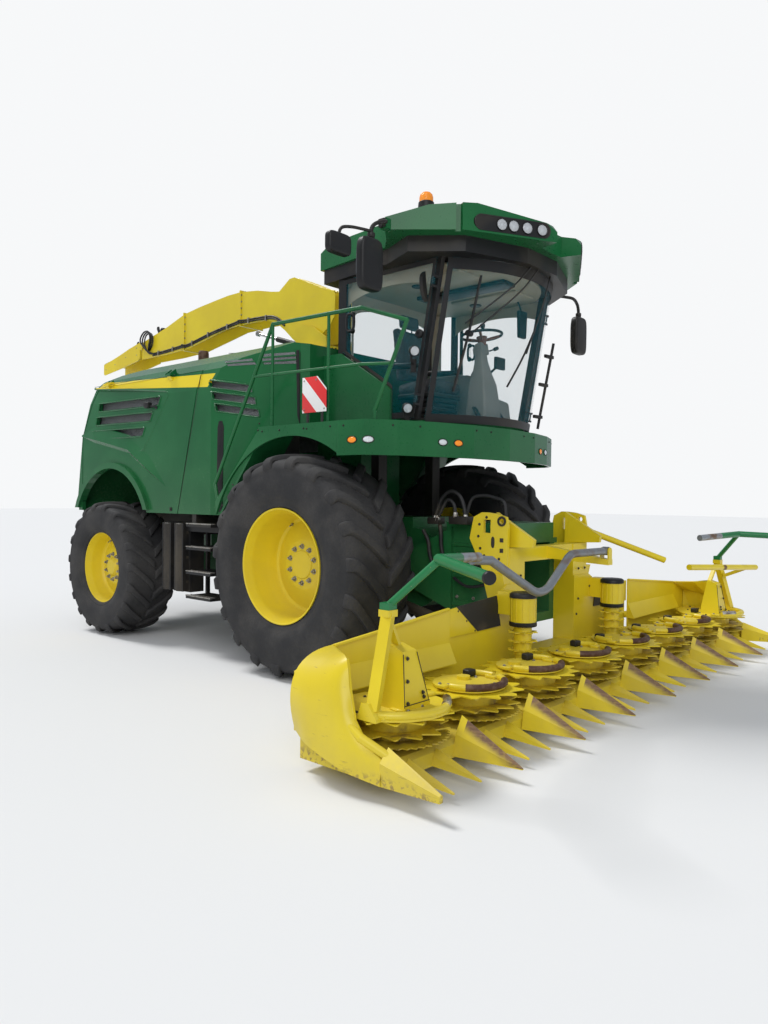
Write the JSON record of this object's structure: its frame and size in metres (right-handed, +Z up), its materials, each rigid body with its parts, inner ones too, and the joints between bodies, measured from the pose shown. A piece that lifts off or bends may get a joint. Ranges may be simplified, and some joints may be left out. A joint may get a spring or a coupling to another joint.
{
  "type": "forage harvester",
  "caption": "Self-propelled forage harvester with a folding rotary maize header, glazed cab, discharge spout and rear-steered wheels.",
  "frame": {"origin": "Centre of the bounding box's footprint, on the ground under the tyres.", "axes": "+Z up. The machine drives towards -Y, with the header at -Y and the spout's end at +Y. +X is the machine's left side."},
  "size_m": [6.13, 8.8891, 4.1783],
  "materials": {
    "green": "semi-gloss green paint",
    "yellow": "semi-gloss yellow paint",
    "dark_frame": "satin black paint",
    "black_plastic": "matt moulded black",
    "engine_metal": "dark cast and painted metal",
    "glass": "clear tinted panes",
    "lamp": "clear and orange lenses",
    "seat_fabric": "dark seat cloth",
    "trim_plastic": "grey-beige moulded trim",
    "tyre": "black tyre rubber",
    "rod_steel": "plated rods",
    "grey_steel": "grey painted steel"
  },
  "bodies": {
    "chassis": {"frame": "dark_frame", "front_axle": "green", "rear_axle": "green", "chopper_housing": "green", "engine": "engine_metal", "hood": "green", "cowl": "green", "platform": "green", "side_steps": "black_plastic", "handrails": "green", "cab_base": "green", "cab_frame": "black_plastic", "cab_roof": "green", "lamps": "lamp", "cab_glass": "glass", "seat": "seat_fabric", "controls": "trim_plastic", "mirrors": "black_plastic", "ballast": "dark_frame"},
    "panel_right": {"hood_panel_right": "green"},
    "panel_left": {"hood_panel_left": "green"},
    "cab_door_right": {"door_right": "glass"},
    "cab_door_left": {"door_left": "glass"},
    "steer_right": {"knuckle_right": "green"},
    "steer_left": {"knuckle_left": "green"},
    "front_wheel_right": {"rim_front_right": "yellow", "tyre_front_right": "tyre"},
    "front_wheel_left": {"rim_front_left": "yellow", "tyre_front_left": "tyre"},
    "rear_wheel_right": {"rim_rear_right": "yellow", "tyre_rear_right": "tyre"},
    "rear_wheel_left": {"rim_rear_left": "yellow", "tyre_rear_left": "tyre"},
    "spout_base": {"spout_turret": "yellow"},
    "spout_boom": {"spout_arm": "yellow"},
    "spout_end": {"spout_flap": "yellow"},
    "spout_cylinder": {"spout_barrel": "dark_frame"},
    "spout_piston": {"spout_rod": "rod_steel"},
    "feeder": {"feed_housing": "green", "header_frame": "yellow", "header_points": "yellow", "side_guide": "yellow"},
    "lift_cylinders": {"lift_barrels": "dark_frame"},
    "lift_pistons": {"lift_rods": "rod_steel"},
    "header_wing_right": {"wing_right": "yellow", "wing_guide_right": "green"},
    "header_wing_left": {"wing_left": "yellow", "wing_guide_left": "green"},
    "pusher": {"crop_pusher": "grey_steel"},
    "feed_drum_right": {"drum_right": "yellow"},
    "feed_drum_left": {"drum_left": "yellow"},
    "row_rotor_1": {"rotor_1": "yellow"},
    "row_rotor_2": {"rotor_2": "yellow"},
    "row_rotor_3": {"rotor_3": "yellow"},
    "row_rotor_4": {"rotor_4": "yellow"},
    "row_rotor_5": {"rotor_5": "yellow"},
    "row_rotor_6": {"rotor_6": "yellow"},
    "row_rotor_7": {"rotor_7": "yellow"},
    "row_rotor_8": {"rotor_8": "yellow"}
  },
  "joints": [
    {"name": "front_wheel_right_spin", "type": "hinge", "parent": "chassis", "child": "front_wheel_right", "pos_m": [-1.25, -1.27, 1], "axis": [1, 0, 0], "continuous": true},
    {"name": "front_wheel_left_spin", "type": "hinge", "parent": "chassis", "child": "front_wheel_left", "pos_m": [1.25, -1.27, 1], "axis": [1, 0, 0], "continuous": true},
    {"name": "steer_left", "type": "hinge", "parent": "chassis", "child": "steer_left", "pos_m": [0.9, 1.93, 0.77], "axis": [0, 0, 1], "range_deg": [-35, 35]},
    {"name": "steer_right", "type": "hinge", "parent": "chassis", "child": "steer_right", "pos_m": [-0.9, 1.93, 0.77], "axis": [0, 0, 1], "range_deg": [-35, 35]},
    {"name": "rear_wheel_right_spin", "type": "hinge", "parent": "steer_right", "child": "rear_wheel_right", "pos_m": [-1.31, 1.93, 0.77], "axis": [1, 0, 0], "continuous": true},
    {"name": "rear_wheel_left_spin", "type": "hinge", "parent": "steer_left", "child": "rear_wheel_left", "pos_m": [1.31, 1.93, 0.77], "axis": [1, 0, 0], "continuous": true},
    {"name": "door_right_hinge", "type": "hinge", "parent": "chassis", "child": "cab_door_right", "pos_m": [-0.93, -2.215, 2.3], "axis": [0, -0.1736, 0.9848], "range_deg": [0, 30]},
    {"name": "door_left_hinge", "type": "hinge", "parent": "chassis", "child": "cab_door_left", "pos_m": [0.93, -2.215, 2.3], "axis": [0, 0.1736, -0.9848], "range_deg": [0, 70]},
    {"name": "panel_right_hinge", "type": "hinge", "parent": "chassis", "child": "panel_right", "pos_m": [-1.41, 1.43, 2.9], "axis": [0, 1, 0], "range_deg": [0, 60]},
    {"name": "panel_left_hinge", "type": "hinge", "parent": "chassis", "child": "panel_left", "pos_m": [1.41, 1.43, 2.9], "axis": [0, -1, 0], "range_deg": [0, 60]},
    {"name": "spout_slew", "type": "hinge", "parent": "chassis", "child": "spout_base", "pos_m": [0, -0.15, 3.2], "axis": [0, 0, 1], "range_deg": [-100, 100]},
    {"name": "spout_lift", "type": "hinge", "parent": "spout_base", "child": "spout_boom", "pos_m": [0, -0.02, 3.42], "axis": [1, 0, 0], "range_deg": [0, 35]},
    {"name": "spout_end_tilt", "type": "hinge", "parent": "spout_boom", "child": "spout_end", "pos_m": [0, 3.42, 3.7], "axis": [-1, 0, 0], "range_deg": [0, 40]},
    {"name": "spout_cylinder_tilt", "type": "hinge", "parent": "spout_base", "child": "spout_cylinder", "pos_m": [0, 0.17, 3.33], "axis": [1, 0, 0], "range_deg": [0, 40]},
    {"name": "spout_cylinder_stroke", "type": "slide", "parent": "spout_cylinder", "child": "spout_piston", "axis": [0, 0.9541, 0.2995], "range_m": [0, 0.14]},
    {"name": "header_lift", "type": "hinge", "parent": "chassis", "child": "feeder", "pos_m": [0, -1.75, 0.95], "axis": [-1, 0, 0], "range_deg": [0, 15]},
    {"name": "lift_cylinder_tilt", "type": "hinge", "parent": "chassis", "child": "lift_cylinders", "pos_m": [0, -1.45, 0.7], "axis": [-1, 0, 0], "range_deg": [0, 12]},
    {"name": "lift_cylinder_stroke", "type": "slide", "parent": "lift_cylinders", "child": "lift_pistons", "axis": [0, -0.9752, -0.2212], "range_m": [0, 0.08]},
    {"name": "wing_right_fold", "type": "hinge", "parent": "feeder", "child": "header_wing_right", "pos_m": [-1.5, -3.17, 0.45], "axis": [0, 1, 0], "range_deg": [0, 90]},
    {"name": "wing_left_fold", "type": "hinge", "parent": "feeder", "child": "header_wing_left", "pos_m": [1.5, -3.17, 0.45], "axis": [0, -1, 0], "range_deg": [0, 90]},
    {"name": "pusher_fold", "type": "hinge", "parent": "feeder", "child": "pusher", "pos_m": [0, -3.55, 1.19], "axis": [0, 1, 0], "range_deg": [0, 45]},
    {"name": "rotor_1_spin", "type": "hinge", "parent": "header_wing_right", "child": "row_rotor_1", "pos_m": [-2.625, -3.51, 0.3], "axis": [0, 0, 1], "continuous": true},
    {"name": "rotor_2_spin", "type": "hinge", "parent": "header_wing_right", "child": "row_rotor_2", "pos_m": [-1.875, -3.51, 0.3], "axis": [0, 0, 1], "continuous": true},
    {"name": "rotor_3_spin", "type": "hinge", "parent": "feeder", "child": "row_rotor_3", "pos_m": [-1.125, -3.51, 0.3], "axis": [0, 0, 1], "continuous": true},
    {"name": "rotor_4_spin", "type": "hinge", "parent": "feeder", "child": "row_rotor_4", "pos_m": [-0.375, -3.51, 0.3], "axis": [0, 0, 1], "continuous": true},
    {"name": "rotor_5_spin", "type": "hinge", "parent": "feeder", "child": "row_rotor_5", "pos_m": [0.375, -3.51, 0.3], "axis": [0, 0, 1], "continuous": true},
    {"name": "rotor_6_spin", "type": "hinge", "parent": "feeder", "child": "row_rotor_6", "pos_m": [1.125, -3.51, 0.3], "axis": [0, 0, 1], "continuous": true},
    {"name": "rotor_7_spin", "type": "hinge", "parent": "header_wing_left", "child": "row_rotor_7", "pos_m": [1.875, -3.51, 0.3], "axis": [0, 0, 1], "continuous": true},
    {"name": "rotor_8_spin", "type": "hinge", "parent": "header_wing_left", "child": "row_rotor_8", "pos_m": [2.625, -3.51, 0.3], "axis": [0, 0, 1], "continuous": true},
    {"name": "drum_right_spin", "type": "hinge", "parent": "feeder", "child": "feed_drum_right", "pos_m": [-0.78, -3.24, 0.5], "axis": [0, 0, 1], "continuous": true},
    {"name": "drum_left_spin", "type": "hinge", "parent": "feeder", "child": "feed_drum_left", "pos_m": [0.78, -3.24, 0.5], "axis": [0, 0, 1], "continuous": true}
  ],
  "couplings": [
    {"joint": "steer_right", "follows": "steer_left", "ratio": 1},
    {"joint": "spout_cylinder_tilt", "follows": "spout_lift", "ratio": 1.1},
    {"joint": "spout_cylinder_stroke", "follows": "spout_lift", "m_per_rad": 0.183},
    {"joint": "lift_cylinder_tilt", "follows": "header_lift", "ratio": 0.744},
    {"joint": "lift_cylinder_stroke", "follows": "header_lift", "m_per_rad": 0.285},
    {"joint": "pusher_fold", "follows": "wing_right_fold", "ratio": 0.5}
  ]
}
